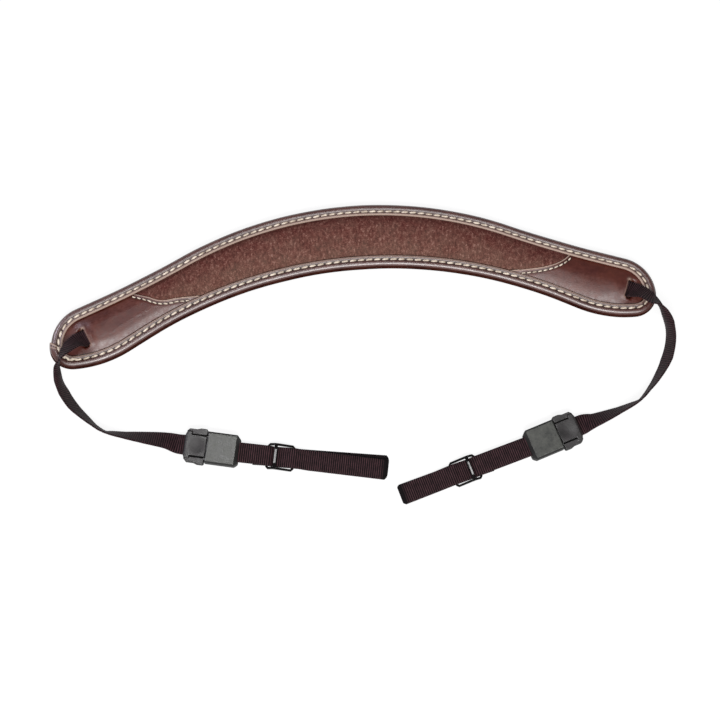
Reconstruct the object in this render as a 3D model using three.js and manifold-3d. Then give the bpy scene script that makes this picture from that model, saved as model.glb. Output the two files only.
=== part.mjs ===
// Binocular neck strap: a curved pad of leather and felt with webbing, clips, sliders and end loops,
// laid out on a flat surface. Millimetres, +Z up. The origin is the middle of the pad on that surface.
import * as THREE from 'three';
import { mergeVertices } from 'three/addons/utils/BufferGeometryUtils.js';
import Module from 'manifold-3d';

const wasm = await Module();
wasm.setup();

const toRadians = THREE.MathUtils.degToRad;

// Driving dimensions
const gap = 0.3; // clearance between neighbouring pieces
const padHalfWidth = 16.7; // pad, at its middle
const farEdgeRadius = 197;
const nearEdgeRadius = 219;
const nearEdgeTurn = 28; // degrees from the pad's middle to the near swell
const leatherThick = 1.2;
const webbingWidth = 10;
const webbingThick = 0.9;
const through = 120; // longer than any piece, for outlines that cut or trim right through one

// Half of the pad's rim, walked clockwise from the middle of the far edge round the right tip.
// A stretch turns by so many degrees (left is positive) on a radius, or runs straight.
const tipStretches = [
  { name: 'far edge', turn: -25, radius: farEdgeRadius, steps: 7 },
  { name: 'far flare', turn: 5, radius: 573, steps: 4 },
  { name: 'far shoulder', run: 10, steps: 1 },
  { name: 'far corner', turn: -70, radius: 20, steps: 6 },
  { name: 'tip', run: 0.3, steps: 1 },
  { name: 'near corner', turn: -90, radius: 11.3, steps: 6 },
  { name: 'near swell', turn: -nearEdgeTurn, radius: 60, steps: 3 },
];

// Pad sections, as insets from the rim and heights. Each list goes once round its piece.
const bindingOutside = [
  { inset: 6.0, z: 6.3 },
  { inset: 5.0, z: 6.4 },
  { inset: 4.0, z: 6.1 }, // sunk where the stitches pull
  { inset: 3.1, z: 6.5 },
  { inset: 2.2, z: 6.6 },
  { inset: 1.0, z: 6.1 },
  { inset: 0.3, z: 5.0 },
  { inset: 0.0, z: 3.3 },
  { inset: 0.3, z: 1.6 },
  { inset: 1.0, z: 0.5 },
  { inset: 2.2, z: 0.0 },
  { inset: 6.0, z: 0.0 },
];
const bindingInside = [
  { inset: 6.0, z: 1.2 },
  { inset: 2.4, z: 1.2 },
  { inset: 1.4, z: 2.2 },
  { inset: 1.2, z: 3.2 },
  { inset: 1.4, z: 4.2 },
  { inset: 2.4, z: 5.2 },
  { inset: 6.0, z: 5.2 },
];
const backSection = [
  { inset: 8.6, z: 1.1 },
  { inset: 6.4, z: 2.6 },
  { inset: 2.6, z: 2.6 },
  { inset: 2.6, z: 1.5 },
  { inset: 6.6, z: 1.5 },
  { inset: 8.8, z: 0.0 },
];
const feltSection = [
  { inset: 10.8, z: 6.1 },
  { inset: 8.4, z: 5.7 },
  { inset: 6.3, z: 4.9 },
  { inset: 2.6, z: 4.9 },
  { inset: 2.6, z: 2.9 },
  { inset: 6.5, z: 2.9 },
  { inset: 8.7, z: 1.4 },
];
const endPanelTop = [
  { inset: 10.8, z: 6.8 },
  { inset: 8.4, z: 6.2 },
  { inset: 6.3, z: 4.9 },
  { inset: 2.6, z: 4.9 },
];
const lapRise = 0.8; // the binding's end laps over its start at the left tip
const bindingMiddle = { inset: 3.2, z: 3.3 };
const recessReach = { inset: 2, z: 15 }; // how far the recess under an end panel opens, past it and upwards

// Front edge of each end panel, x measured outwards from the middle of the pad.
// The panels were cut by hand: the right one sweeps round, the left one has a shallow bend.
const swooshes = {
  right: {
    farRim: [114.5, -11],
    start: [111.5, -19],
    pull: [[106.5, -25], [98, -26]],
    end: [88, -25.4],
    nearFlange: [80.5, -25.1],
    nearRim: [70, -33],
  },
  left: {
    farRim: [116.5, -16.3],
    start: [101, -22.3],
    pull: [[96.8, -24.6], [94.6, -24.9]],
    end: [88, -23.8],
    nearFlange: [76.5, -23.3],
    nearRim: [68.5, -29.5],
  },
};
const beyondTip = { x: 175, far: -11, near: -75 };

// Slot in each end panel: the middle of its inboard lip and the way that the webbing leaves
const slotLength = 7.5;
const slotSpare = 0.6; // wider than the webbing at each side
const pocket = { floorZ: 3.1, inboard: 13, webbingZ: 4.25, tail: 12, level: 1 };
const slots = {
  right: { x: 137.4, y: -40.0, heading: -22 },
  left: { x: -133.6, y: -39.2, heading: 202 },
};

// Free webbing from the slot to the clip, a row for each bend or change of lean.
// roll is 0 with the webbing flat, 90 on edge and 180 turned over; the inner edge rises first.
const upperRoutes = {
  right: [
    { x: 141.6, y: -42.6, z: 7.7, roll: 11 },
    { x: 144.9, y: -45.2, z: 11.1, roll: 33 },
    { x: 148.1, y: -47.3, z: 11.6, roll: 46 },
    { x: 151.4, y: -49.7, z: 11.0, roll: 62 },
    { x: 153.8, y: -52.8, z: 9.4, roll: 81 },
    { x: 156.0, y: -59.4, z: 6.7, roll: 99 },
    { x: 156.0, y: -67.5, z: 5.1, roll: 109 },
    { x: 152.4, y: -78.1, z: 4.85, roll: 115 },
    { x: 145.7, y: -88.0, z: 5.0, roll: 104 },
    { x: 140.9, y: -93.3, z: 5.1, roll: 97 },
    { x: 137.0, y: -97.0, z: 5.1, roll: 95 },
    { x: 133.4, y: -98.7, z: 5.1, roll: 104 },
    { x: 125.3, y: -101.6, z: 5.0, roll: 115 },
    { x: 112.5, y: -105.4, z: 4.6, roll: 140 },
  ],
  left: [
    { x: -138.1, y: -41.5, z: 7.4, roll: 10 },
    { x: -141.0, y: -44.3, z: 11.3, roll: 31 },
    { x: -143.6, y: -47.0, z: 12.5, roll: 48 },
    { x: -146.3, y: -50.0, z: 12.8, roll: 65 },
    { x: -148.8, y: -53.8, z: 11.1, roll: 84 },
    { x: -149.0, y: -59.6, z: 7.6, roll: 102 },
    { x: -146.7, y: -66.3, z: 5.2, roll: 116 },
    { x: -142.4, y: -73.9, z: 4.8, roll: 116 },
    { x: -136.8, y: -80.3, z: 5.0, roll: 108 },
    { x: -133.0, y: -84.2, z: 5.1, roll: 101 },
    { x: -128.3, y: -87.8, z: 5.1, roll: 100 },
    { x: -124.8, y: -88.9, z: 5.0, roll: 108 },
    { x: -118.7, y: -90.5, z: 4.95, roll: 116 },
    { x: -109.4, y: -92.6, z: 4.8, roll: 131 },
    { x: -97.7, y: -95.3, z: 4.2, roll: 151 },
  ],
};
const clipApproach = { distance: 3, roll: 172 }; // the webbing just before it enters the clip
const routeSubsteps = 3;

// Clips: place of the joint between tongue and housing, and the way towards the loop
const clips = {
  right: { x: 94.0, y: -110.6, heading: 197.2 },
  left: { x: -78.6, y: -100.5, heading: -13.2 },
};
const housing = {
  length: 16.2,
  width: 15.6,
  height: 6.9,
  sideChamfer: 0.8,
  endChamfer: 1.7,
  endDrop: 3.2,
  edge: 0.4,
};
const mouth = { depth: 11, width: 12.4, low: 1.4, high: 5.4 };
const tongue = { length: 11, baseWidth: 10.2, bridge: 3.2, shoulder: 1.6, low: 0.3, high: 6.3, edge: 0.8 };
const prong = { reach: 10, spare: 0.35 };
const ear = {
  outer: 8.85,
  waist: 8.2,
  inner: 5.7,
  low: 1.2,
  high: 5.6,
  tip: -0.3,
  swellFrom: -5.6,
  swellTo: -3.8,
  edge: 0.6,
  root: 1,
};
const scoop = { u: -4.9, radius: 6.8, depth: 1.3 };
const anchorZ = 3.5; // height of the webbing in the clip
const anchorDepth = 3.2;

// Sliders and loops lie on one line from the housing's end to the loop's end
const loops = {
  right: { x: 47.0, y: -123.7, heading: 195.2, toHousing: 32.6, toEnd: 34.6 },
  left: { x: -43.0, y: -108.4, heading: -11.5, toHousing: 20.2, toEnd: 53.4 },
};
const splays = { right: { upper: 0.4, lower: -0.2 }, left: { upper: -0.9, lower: 1.6 } };
const slider = { length: 14, width: 13, rail: 1.1, bar: 1.4, barHigh: 1.25, corner: 1.2, archThick: 2.1 };
const middleBar = { u: -2.5, width: 1.6, low: 2.55, high: 4.0 };

// Heights of the webbing's middle along the loop, measured from the slider's middle
const overBar = { upper: 3.1, lower: 1.95 };
const underBar = { upper: 1.85, lower: 0.7 };
const barReach = { high: 7.3, low: 5.3 }; // the webbing lies level over an end bar between these
const middleReach = { near: -3.7, far: -1.3 };
const layers = { upper: 1.7, lower: 0.45 }; // webbing on webbing, beyond the slider
const layersFrom = { u: 14, splayed: 0.25 }; // here a quarter of the splay is reached
const fold = { steps: 6, bulge: 0.25 };
const tailBeyondSlider = 6;

// Colours, from the photo
const finishes = {
  leather: { color: 0x4a2a22, roughness: 0.4 },
  felt: { color: 0x6a453e, roughness: 1.0 },
  binding: { color: 0x52322b, roughness: 0.42 },
  webbing: { color: 0x2f2526, roughness: 0.85 },
  clipPlastic: { color: 0x6a6a68, roughness: 0.55 },
  sliderPlastic: { color: 0x1c1a1b, roughness: 0.2 },
};

// Closed solids: to and from the form that can be joined and cut

function toSolid(geometry) {
  const bare = geometry.clone();
  bare.deleteAttribute('normal');
  bare.deleteAttribute('uv');
  const merged = mergeVertices(bare, 1e-4);
  return new wasm.Manifold(new wasm.Mesh({
    numProp: 3,
    vertProperties: new Float32Array(merged.attributes.position.array),
    triVerts: new Uint32Array(merged.index.array),
  }));
}

function toGeometry(solid) {
  const { vertProperties, triVerts } = solid.getMesh();
  const geometry = new THREE.BufferGeometry();
  geometry.setAttribute('position', new THREE.BufferAttribute(vertProperties, 3));
  geometry.setIndex(new THREE.BufferAttribute(triVerts, 1));
  geometry.computeVertexNormals();
  return geometry;
}

function signedVolume(points, triangles) {
  const normal = new THREE.Vector3();
  return triangles.reduce((sum, [a, b, c]) => {
    normal.crossVectors(points[b], points[c]);
    return sum + points[a].dot(normal);
  }, 0);
}

// Skins a row of closed rings that have equal counts of points; an open row is capped at both ends
function loft(rings, joinsUp = false) {
  const count = rings[0].length;
  const points = rings.flat();
  const bands = joinsUp ? rings.length : rings.length - 1;
  let triangles = [];
  for (let ring = 0; ring < bands; ring += 1) {
    const here = ring * count;
    const next = ((ring + 1) % rings.length) * count;
    for (let i = 0; i < count; i += 1) {
      const j = (i + 1) % count;
      triangles.push([here + i, next + i, next + j], [here + i, next + j, here + j]);
    }
  }
  if (!joinsUp) {
    const last = (rings.length - 1) * count;
    triangles.push(...capTriangles(rings[0]));
    triangles.push(...capTriangles(rings.at(-1)).map(([a, b, c]) => [last + a, last + c, last + b]));
  }
  if (signedVolume(points, triangles) < 0) {
    triangles = triangles.map(([a, b, c]) => [a, c, b]);
  }
  const geometry = new THREE.BufferGeometry().setFromPoints(points);
  geometry.setIndex(triangles.flat());
  geometry.computeVertexNormals();
  return geometry;
}

// Fills a ring's own plane, with triangles that run the same way round as the ring
function capTriangles(ring) {
  const across = new THREE.Vector3().subVectors(ring[1], ring[0]).normalize();
  const normal = new THREE.Vector3();
  ring.forEach((point, i) => {
    normal.add(new THREE.Vector3().crossVectors(point, ring[(i + 1) % ring.length]));
  });
  normal.normalize();
  const up = new THREE.Vector3().crossVectors(normal, across);
  const flat = ring.map((point) => new THREE.Vector2(point.dot(across), point.dot(up)));
  return THREE.ShapeUtils.triangulateShape(flat, []);
}

// Extrudes a closed outline, centred on its axis: z from (x, y), y from (x, z) or x from (y, z)
const extrudeBases = {
  z: [[1, 0, 0], [0, 1, 0], [0, 0, 1]],
  y: [[1, 0, 0], [0, 0, 1], [0, -1, 0]],
  x: [[0, 1, 0], [0, 0, 1], [1, 0, 0]],
};

function extrude(shape, depth, axis = 'z') {
  const geometry = new THREE.ExtrudeGeometry(shape, { depth, bevelEnabled: false, curveSegments: 10 });
  geometry.translate(0, 0, -depth / 2);
  const basis = extrudeBases[axis].map((direction) => new THREE.Vector3(...direction));
  return geometry.applyMatrix4(new THREE.Matrix4().makeBasis(...basis));
}

function outline(points) {
  return new THREE.Shape(points.map(([x, y]) => new THREE.Vector2(x, y)));
}

function box(low, high) {
  const size = high.map((value, i) => value - low[i]);
  const geometry = new THREE.BoxGeometry(...size);
  return geometry.translate(...low.map((value, i) => value + size[i] / 2));
}

// A place on the surface with its x axis turned to a heading
function placement({ x, y, heading }) {
  const matrix = new THREE.Matrix4().makeRotationZ(toRadians(heading));
  return matrix.setPosition(x, y, 0);
}

// Pad rim

function walkStretches(start, stretches) {
  const stations = [];
  let { x, y, heading } = start;
  stretches.forEach(({ name, turn = 0, radius = 0, run = 0, steps }) => {
    const stepTurn = toRadians(turn) / steps;
    const chord = turn ? 2 * radius * Math.sin(Math.abs(stepTurn) / 2) : run / steps;
    for (let step = 0; step < steps; step += 1) {
      stations.push({ x, y, heading, name, done: step / steps });
      const along = heading + stepTurn / 2;
      x += chord * Math.cos(along);
      y += chord * Math.sin(along);
      heading += stepTurn;
    }
  });
  return { stations, end: { x, y, heading } };
}

function makeRim() {
  const tipWalk = walkStretches({ x: 0, y: padHalfWidth, heading: 0 }, tipStretches);
  const turn = toRadians(nearEdgeTurn);
  const nearRun = (tipWalk.end.x - nearEdgeRadius * Math.sin(turn)) / Math.cos(turn);
  const nearWalk = walkStretches(tipWalk.end, [
    { name: 'near straight', run: nearRun, steps: 1 },
    { name: 'near edge', turn: nearEdgeTurn, radius: nearEdgeRadius, steps: 9 },
  ]);
  const right = [...tipWalk.stations, ...nearWalk.stations].map((station) => ({
    ...station,
    outX: -Math.sin(station.heading),
    outY: Math.cos(station.heading),
    lap: 0,
  }));
  const nearMiddle = { x: 0, y: nearWalk.end.y, outX: 0, outY: -1, lap: 0 };
  const left = right.slice(1).reverse().map((station) => ({
    ...station,
    x: -station.x,
    outX: -station.outX,
    lap: station.name === 'near corner' ? 1 - station.done : 0,
  }));
  return [...right, nearMiddle, ...left];
}

const rim = makeRim();

function rimRing({ inset, z }) {
  return rim.map(({ x, y, outX, outY }) => new THREE.Vector3(x - outX * inset, y - outY * inset, z));
}

function padLayer(section) {
  return loft(section.map(rimRing));
}

// Binding: its folded section swept round the rim, thicker where its end laps over its start

function lappedRing({ inset, z }) {
  const outward = Math.max(0, 1 - inset / bindingMiddle.inset);
  const upward = Math.max(0, z / bindingMiddle.z - 1);
  return rim.map(({ x, y, outX, outY, lap }) => {
    const reach = lap * lapRise * outward - inset;
    return new THREE.Vector3(x + outX * reach, y + outY * reach, z + lap * lapRise * upward);
  });
}

function edgeBinding() {
  return loft([...bindingOutside.map(lappedRing), ...bindingInside.map(rimRing)], true);
}

// End panels, and the felt that runs on beneath them

function endRegion(side, swoosh, spread = 0) {
  const at = ([x, y]) => [side * (x - spread), y + spread];
  const shape = new THREE.Shape();
  shape.moveTo(...at(swoosh.farRim));
  shape.lineTo(...at(swoosh.start));
  shape.bezierCurveTo(...at(swoosh.pull[0]), ...at(swoosh.pull[1]), ...at(swoosh.end));
  shape.lineTo(...at(swoosh.nearFlange));
  shape.lineTo(...at(swoosh.nearRim));
  shape.lineTo(...at([swoosh.nearRim[0], beyondTip.near]));
  shape.lineTo(...at([beyondTip.x, beyondTip.near]));
  shape.lineTo(...at([beyondTip.x, beyondTip.far]));
  return toSolid(extrude(shape, through));
}

function lowered(section, drop) {
  return section.map(({ inset, z }) => ({ inset, z: z - drop }));
}

function slotCut(slot, from, lowZ) {
  const half = webbingWidth / 2 + slotSpare;
  return toSolid(box([from, -half, lowZ], [slotLength, half, through]).applyMatrix4(placement(slot)));
}

function endPanel(side, swoosh, slot) {
  const underside = lowered(endPanelTop, leatherThick).reverse();
  const sheet = toSolid(padLayer([...endPanelTop, ...underside]));
  return toGeometry(sheet.intersect(endRegion(side, swoosh)).subtract(slotCut(slot, 0, 0)));
}

function feltPanel() {
  const recessFloor = lowered(endPanelTop, leatherThick + gap).reverse();
  const recessTop = [
    { inset: endPanelTop[0].inset, z: recessReach.z },
    recessReach,
    { inset: recessReach.inset, z: recessFloor[0].z },
  ];
  const recess = toSolid(padLayer([...recessTop, ...recessFloor]));
  let felt = toSolid(padLayer(feltSection));
  [[1, 'right'], [-1, 'left']].forEach(([side, hand]) => {
    felt = felt.subtract(recess.intersect(endRegion(side, swooshes[hand], gap)));
    felt = felt.subtract(slotCut(slots[hand], -pocket.inboard, pocket.floorZ));
  });
  return toGeometry(felt);
}

// Webbing: a flat section carried along a row of frames

function webbing(frames) {
  const halfWidth = webbingWidth / 2;
  const halfThick = webbingThick / 2;
  const corners = [[-1, -1], [1, -1], [1, 1], [-1, 1]];
  return loft(frames.map(({ at, across, out }) => corners.map(([w, t]) => at.clone()
    .addScaledVector(across, w * halfWidth)
    .addScaledVector(out, t * halfThick))));
}

function upperRows(route, slot, clip) {
  const alongSlot = (s) => new THREE.Vector3(s, 0, 0).applyMatrix4(placement(slot));
  const inClip = (u) => new THREE.Vector3(u, 0, 0).applyMatrix4(placement(clip));
  const start = [-pocket.tail, -pocket.tail / 2, -pocket.level, pocket.level].map((s) => {
    const { x, y } = alongSlot(s);
    return { x, y, z: pocket.webbingZ, roll: 0 };
  });
  const end = [
    { u: -tongue.length - clipApproach.distance, roll: clipApproach.roll },
    { u: -tongue.length, roll: 180 },
    { u: -tongue.length + anchorDepth, roll: 180 },
  ].map(({ u, roll }) => {
    const { x, y } = inClip(u);
    return { x, y, z: anchorZ, roll };
  });
  return [...start, ...route, ...end];
}

function upperWebbing(side, route, slot, clip) {
  const rows = upperRows(route, slot, clip);
  const curve = new THREE.CatmullRomCurve3(rows.map(({ x, y, z }) => new THREE.Vector3(x, y, z)));
  const up = new THREE.Vector3(0, 0, 1);
  const count = (rows.length - 1) * routeSubsteps;
  const frames = [];
  for (let i = 0; i <= count; i += 1) {
    const row = Math.min(Math.floor(i / routeSubsteps), rows.length - 2);
    const roll = toRadians(THREE.MathUtils.lerp(rows[row].roll, rows[row + 1].roll, i / routeSubsteps - row));
    const tangent = curve.getTangent(i / count);
    const inward = new THREE.Vector3().crossVectors(tangent, up).normalize().multiplyScalar(side);
    const lift = new THREE.Vector3().crossVectors(inward, tangent).multiplyScalar(side);
    frames.push({
      at: curve.getPoint(i / count),
      across: inward.clone().multiplyScalar(Math.cos(roll)).addScaledVector(lift, Math.sin(roll)),
      out: lift.clone().multiplyScalar(Math.cos(roll)).addScaledVector(inward, -Math.sin(roll)),
    });
  }
  return webbing(frames);
}

// The loop's middle line: through the slider, out to the fold and back under itself through the slider.
// u runs towards the loop's end, v to its left. The two layers splay apart a little towards the fold.
function loopRows({ toHousing, toEnd }, splay) {
  const throughSlider = (layer) => [
    { u: -barReach.high, z: overBar[layer] },
    { u: -barReach.low, z: overBar[layer] },
    { u: middleReach.near, z: underBar[layer] },
    { u: middleReach.far, z: underBar[layer] },
    { u: barReach.low, z: overBar[layer] },
    { u: barReach.high, z: overBar[layer] },
    { u: layersFrom.u, z: layers[layer], v: layersFrom.splayed * splay[layer] },
  ].map((row) => ({ v: 0, ...row }));
  const foldRadius = (layers.upper - layers.lower) / 2 + fold.bulge;
  const foldMiddle = { u: toEnd - foldRadius - webbingThick / 2, z: layers.lower + foldRadius };
  const foldRows = [];
  for (let step = 0; step <= fold.steps; step += 1) {
    const turn = Math.PI * (0.5 - step / fold.steps);
    foldRows.push({
      u: foldMiddle.u + foldRadius * Math.cos(turn),
      v: THREE.MathUtils.lerp(splay.upper, splay.lower, step / fold.steps),
      z: foldMiddle.z + foldRadius * Math.sin(turn),
    });
  }
  return [
    { u: -toHousing - anchorDepth, v: 0, z: anchorZ },
    { u: -toHousing + 1, v: 0, z: anchorZ },
    ...throughSlider('upper'),
    ...foldRows,
    ...throughSlider('lower').reverse(),
    { u: -barReach.high - tailBeyondSlider, v: 0, z: layers.lower },
  ];
}

function loopWebbing(loop, splay) {
  const rows = loopRows(loop, splay).map(({ u, v, z }) => new THREE.Vector3(u, v, z));
  const across = new THREE.Vector3(0, 1, 0);
  const level = (from, to) => new THREE.Vector3(to.x - from.x, 0, to.z - from.z).normalize();
  const frames = rows.map((at, i) => {
    const before = level(rows[Math.max(i - 1, 0)], rows[Math.max(i, 1)]);
    const after = level(rows[Math.min(i, rows.length - 2)], rows[Math.min(i + 1, rows.length - 1)]);
    const along = before.clone().add(after).normalize();
    const out = new THREE.Vector3().crossVectors(along, across);
    return { at, across, out: out.divideScalar(along.dot(before)) };
  });
  return webbing(frames);
}

// Clips. In a clip's own frame the housing lies along +x from the joint and the tongue along -x.

function webbingSlot(from, to) {
  const half = webbingWidth / 2 + 2 * gap;
  const halfHigh = webbingThick / 2 + gap;
  return toSolid(box([from, -half, anchorZ - halfHigh], [to, half, anchorZ + halfHigh]));
}

function buckleHousing() {
  const { length, width, height, sideChamfer, endChamfer, endDrop, edge } = housing;
  const half = width / 2;
  const plan = outline([
    [0, -half], [length - endChamfer, -half], [length, -half + endChamfer],
    [length, half - endChamfer], [length - endChamfer, half], [0, half],
  ]);
  const profile = outline([
    [0, edge], [edge, 0], [length - edge, 0], [length, edge],
    [length, height - endDrop], [length - endChamfer, height], [edge, height], [0, height - edge],
  ]);
  const front = outline([
    [-half, sideChamfer], [-half + sideChamfer, 0], [half - sideChamfer, 0], [half, sideChamfer],
    [half, height - sideChamfer], [half - sideChamfer, height],
    [-half + sideChamfer, height], [-half, height - sideChamfer],
  ]);
  const body = toSolid(extrude(plan, through))
    .intersect(toSolid(extrude(profile, through, 'y')))
    .intersect(toSolid(extrude(front, through, 'x')));
  const hollow = box([-1, -mouth.width / 2, mouth.low], [mouth.depth, mouth.width / 2, mouth.high]);
  const slotFrom = length - anchorDepth - 2 * gap;
  return toGeometry(body.subtract(toSolid(hollow)).subtract(webbingSlot(slotFrom, length + 1)));
}

function tongueBase() {
  const { length, baseWidth, bridge, shoulder, low, high, edge } = tongue;
  const half = baseWidth / 2;
  const wide = half + shoulder;
  const plan = outline([
    [-length + edge, -wide], [-length, -half], [-length, half], [-length + edge, wide],
    [-length + bridge, wide], [-length + bridge, half], [-gap, half],
    [-gap, -half], [-length + bridge, -half], [-length + bridge, -wide],
  ]);
  const profile = outline([
    [-length, low + edge], [-length + edge, low], [-gap, low], [-gap, high],
    [-length + edge, high], [-length, high - edge],
  ]);
  return toSolid(extrude(plan, through)).intersect(toSolid(extrude(profile, through, 'y')));
}

function tongueEar(side) {
  const { outer, waist, inner, low, high, tip, swellFrom, swellTo, edge, root } = ear;
  const rootEnd = -tongue.length + tongue.bridge - root;
  const outerEnd = -tongue.length + edge;
  const plan = outline([
    [rootEnd, inner - root], [outerEnd, inner - root], [outerEnd, waist - 2 * edge],
    [outerEnd + 2 * edge, waist], [swellFrom, waist], [swellTo, outer], [tip - edge, outer],
    [tip, outer - edge], [tip, inner + edge], [tip - edge, inner], [rootEnd, inner],
  ].map(([u, v]) => [u, side * v]));
  return toSolid(extrude(plan, high - low).translate(0, 0, (high + low) / 2));
}

function buckleTongue() {
  const half = tongue.baseWidth / 2;
  const inside = box([-1, -half, mouth.low + prong.spare], [prong.reach, half, mouth.high - prong.spare]);
  const dish = new THREE.SphereGeometry(scoop.radius, 20, 14);
  dish.translate(scoop.u, 0, tongue.high + scoop.radius - scoop.depth);
  const solid = tongueBase()
    .add(tongueEar(1))
    .add(tongueEar(-1))
    .add(toSolid(inside))
    .subtract(toSolid(dish))
    .subtract(webbingSlot(-tongue.length - 1, -tongue.length + anchorDepth + gap));
  return toGeometry(solid);
}

// Sliders: two arched rails, a bar at each end and a raised bar between

function sliderFrame() {
  const { length, width, rail, bar, barHigh, corner, archThick } = slider;
  const { u: middle, low, high } = middleBar;
  const halfLength = length / 2;
  const halfWidth = width / 2;
  const halfMiddle = middleBar.width / 2;
  const arch = outline([
    [-halfLength, 0], [-halfLength + bar, 0], [middle - halfMiddle, high - archThick],
    [middle + halfMiddle, high - archThick], [halfLength - bar, 0], [halfLength, 0], [halfLength, barHigh],
    [middle + halfMiddle, high], [middle - halfMiddle, high], [-halfLength, barHigh],
  ]);
  const plan = outline([
    [-halfLength, -halfWidth + corner], [-halfLength + corner, -halfWidth],
    [halfLength - corner, -halfWidth], [halfLength, -halfWidth + corner],
    [halfLength, halfWidth - corner], [halfLength - corner, halfWidth],
    [-halfLength + corner, halfWidth], [-halfLength, halfWidth - corner],
  ]);
  const railMiddle = halfWidth - rail / 2;
  const pieces = [
    extrude(arch, rail, 'y').translate(0, railMiddle, 0),
    extrude(arch, rail, 'y').translate(0, -railMiddle, 0),
    box([-halfLength, -railMiddle, 0], [-halfLength + bar, railMiddle, barHigh]),
    box([halfLength - bar, -railMiddle, 0], [halfLength, railMiddle, barHigh]),
    box([middle - halfMiddle, -railMiddle, low], [middle + halfMiddle, railMiddle, high]),
  ];
  const joined = pieces.map(toSolid).reduce((whole, piece) => whole.add(piece));
  return toGeometry(joined.intersect(toSolid(extrude(plan, through))));
}

// Assembly

const strap = new THREE.Group();

function addPiece(parent, name, geometry, finish) {
  const material = new THREE.MeshStandardMaterial({ ...finishes[finish], metalness: 0 });
  const mesh = new THREE.Mesh(geometry, material);
  mesh.name = name;
  parent.add(mesh);
}

function addGroup({ x, y, heading }) {
  const group = new THREE.Group();
  group.position.set(x, y, 0);
  group.rotation.z = toRadians(heading);
  strap.add(group);
  return group;
}

addPiece(strap, 'back_panel', padLayer(backSection), 'leather');
addPiece(strap, 'felt_panel', feltPanel(), 'felt');
addPiece(strap, 'edge_binding', edgeBinding(), 'binding');
[['left', -1], ['right', 1]].forEach(([hand, side]) => {
  addPiece(strap, `end_panel_${hand}`, endPanel(side, swooshes[hand], slots[hand]), 'leather');
  const tail = upperWebbing(side, upperRoutes[hand], slots[hand], clips[hand]);
  addPiece(strap, `webbing_upper_${hand}`, tail, 'webbing');
  const clip = addGroup(clips[hand]);
  addPiece(clip, `buckle_tongue_${hand}`, buckleTongue(), 'clipPlastic');
  addPiece(clip, `buckle_housing_${hand}`, buckleHousing(), 'clipPlastic');
  const loop = addGroup(loops[hand]);
  addPiece(loop, `webbing_loop_${hand}`, loopWebbing(loops[hand], splays[hand]), 'webbing');
  addPiece(loop, `slider_${hand}`, sliderFrame(), 'sliderPlastic');
});

export default strap;
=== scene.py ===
import bmesh
import bpy
import math
from mathutils import Matrix, Vector, kdtree, noise


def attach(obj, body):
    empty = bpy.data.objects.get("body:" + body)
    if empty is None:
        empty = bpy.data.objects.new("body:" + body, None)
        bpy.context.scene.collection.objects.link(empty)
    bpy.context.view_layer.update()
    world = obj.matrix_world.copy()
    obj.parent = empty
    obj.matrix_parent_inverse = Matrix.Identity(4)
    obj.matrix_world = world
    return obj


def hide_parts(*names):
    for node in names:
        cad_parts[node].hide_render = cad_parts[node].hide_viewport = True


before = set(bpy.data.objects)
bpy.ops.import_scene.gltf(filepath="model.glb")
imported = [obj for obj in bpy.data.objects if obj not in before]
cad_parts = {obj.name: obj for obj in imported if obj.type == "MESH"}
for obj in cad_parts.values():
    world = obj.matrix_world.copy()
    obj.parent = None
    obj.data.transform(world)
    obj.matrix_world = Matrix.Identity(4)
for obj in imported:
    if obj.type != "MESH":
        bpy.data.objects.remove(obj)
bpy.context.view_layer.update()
mm = 0.001
sides = {"left": -1, "right": 1}
print("frame loaded")

# camera, floor and light: places and sizes in mm, turns in degrees, the floor's width in metres

cameraView = dict(place=(-16.49, -242.03, 779.5), turn=(13.0, 0.0, -5.5), lens=80.0, sensor=36.0)
studio = dict(floorWidth=24.0, floorDrop=0.05, floorColour="#595959", floorGlow=0.86,
              skyColour="#ffffff", skyStrength=0.3)
lightPanels = [
    dict(name="overhead", place=(-90, 50, 920), aim=(-85, 25, 0), size=(220, 75), watts=2.0),
    dict(name="slider_card", place=(120, 12, 915), aim=(47, -124, 0), size=(38, 36), watts=0.26),
    dict(name="front_box", place=(-15, -600, 850), aim=(-15, -40, 0), size=(320, 270), watts=6.0,
         colour="#fffcfa"),
    dict(name="front_fill", place=(20, -640, 820), aim=(0, -40, 0), size=(1100, 360), watts=11.0),
    dict(name="left_window", place=(-790, 400, 500), aim=(-100, -40, 0), size=(180, 260), watts=5.2,
         colour="#f0eeff"),
]


def toLinear(hexColour):
    channels = [int(hexColour[i:i + 2], 16) / 255 for i in (1, 3, 5)]
    return (*[c / 12.92 if c <= 0.04045 else ((c + 0.055) / 1.055) ** 2.4 for c in channels], 1.0)


# adds a node with its settings and links, and gives back the output that is used
def addNode(tree, kind, output, sockets={}, stops=(), **settings):
    node = tree.nodes.new("ShaderNode" + kind)
    for key, value in settings.items():
        setattr(node, key, value)
    for socket, value in sockets.items():
        if isinstance(value, bpy.types.NodeSocket):
            tree.links.new(value, node.inputs[socket])
        else:
            node.inputs[socket].default_value = value
    for i, (position, colour) in enumerate(stops):
        stop = node.color_ramp.elements[i] if i < 2 else node.color_ramp.elements.new(position)
        stop.position = position
        stop.color = toLinear(colour)
    return node.outputs[output]


def startMaterial(name, **sockets):
    material = bpy.data.materials.new(name)
    material.use_nodes = True
    shader = material.node_tree.nodes["Principled BSDF"]
    for socket, value in sockets.items():
        shader.inputs[socket.replace("_", " ")].default_value = value
    return material, material.node_tree, shader


def joinShader(tree, shader, **sockets):
    for socket, output in sockets.items():
        tree.links.new(output, shader.inputs[socket.replace("_", " ")])


def perMm(size):
    return 1 / (size * mm)


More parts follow.
